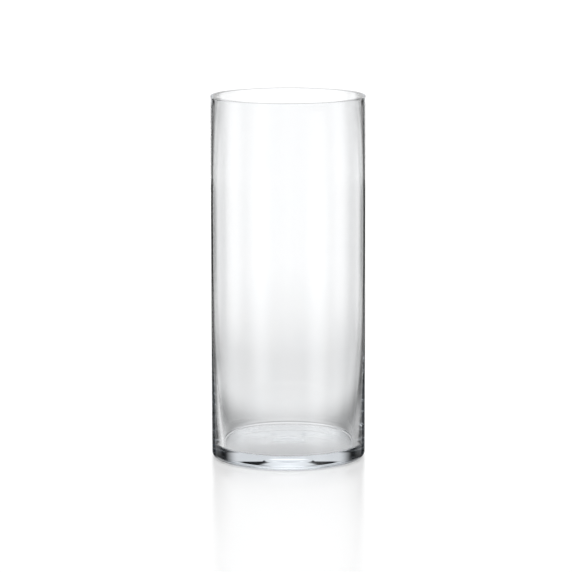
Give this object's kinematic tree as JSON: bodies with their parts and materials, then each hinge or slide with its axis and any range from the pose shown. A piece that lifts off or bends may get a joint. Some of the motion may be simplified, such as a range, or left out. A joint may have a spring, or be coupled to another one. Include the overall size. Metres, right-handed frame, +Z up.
{
  "type": "glass cylinder vase",
  "caption": "Tall straight-sided clear glass vase with a flat polished rim, a thick solid base and a flat foot ring.",
  "frame": {"origin": "centre of the foot, on the plane that the vase stands on", "axes": "+Z up along the axis of the vase, through its mouth; the vase is round, so X and Y are free"},
  "size_m": [0.127, 0.127, 0.3],
  "materials": {
    "clear_glass": "clear polished glass with a very slight cool tint"
  },
  "bodies": {
    "root": {"glass_body": "clear_glass"}
  },
  "joints": []
}
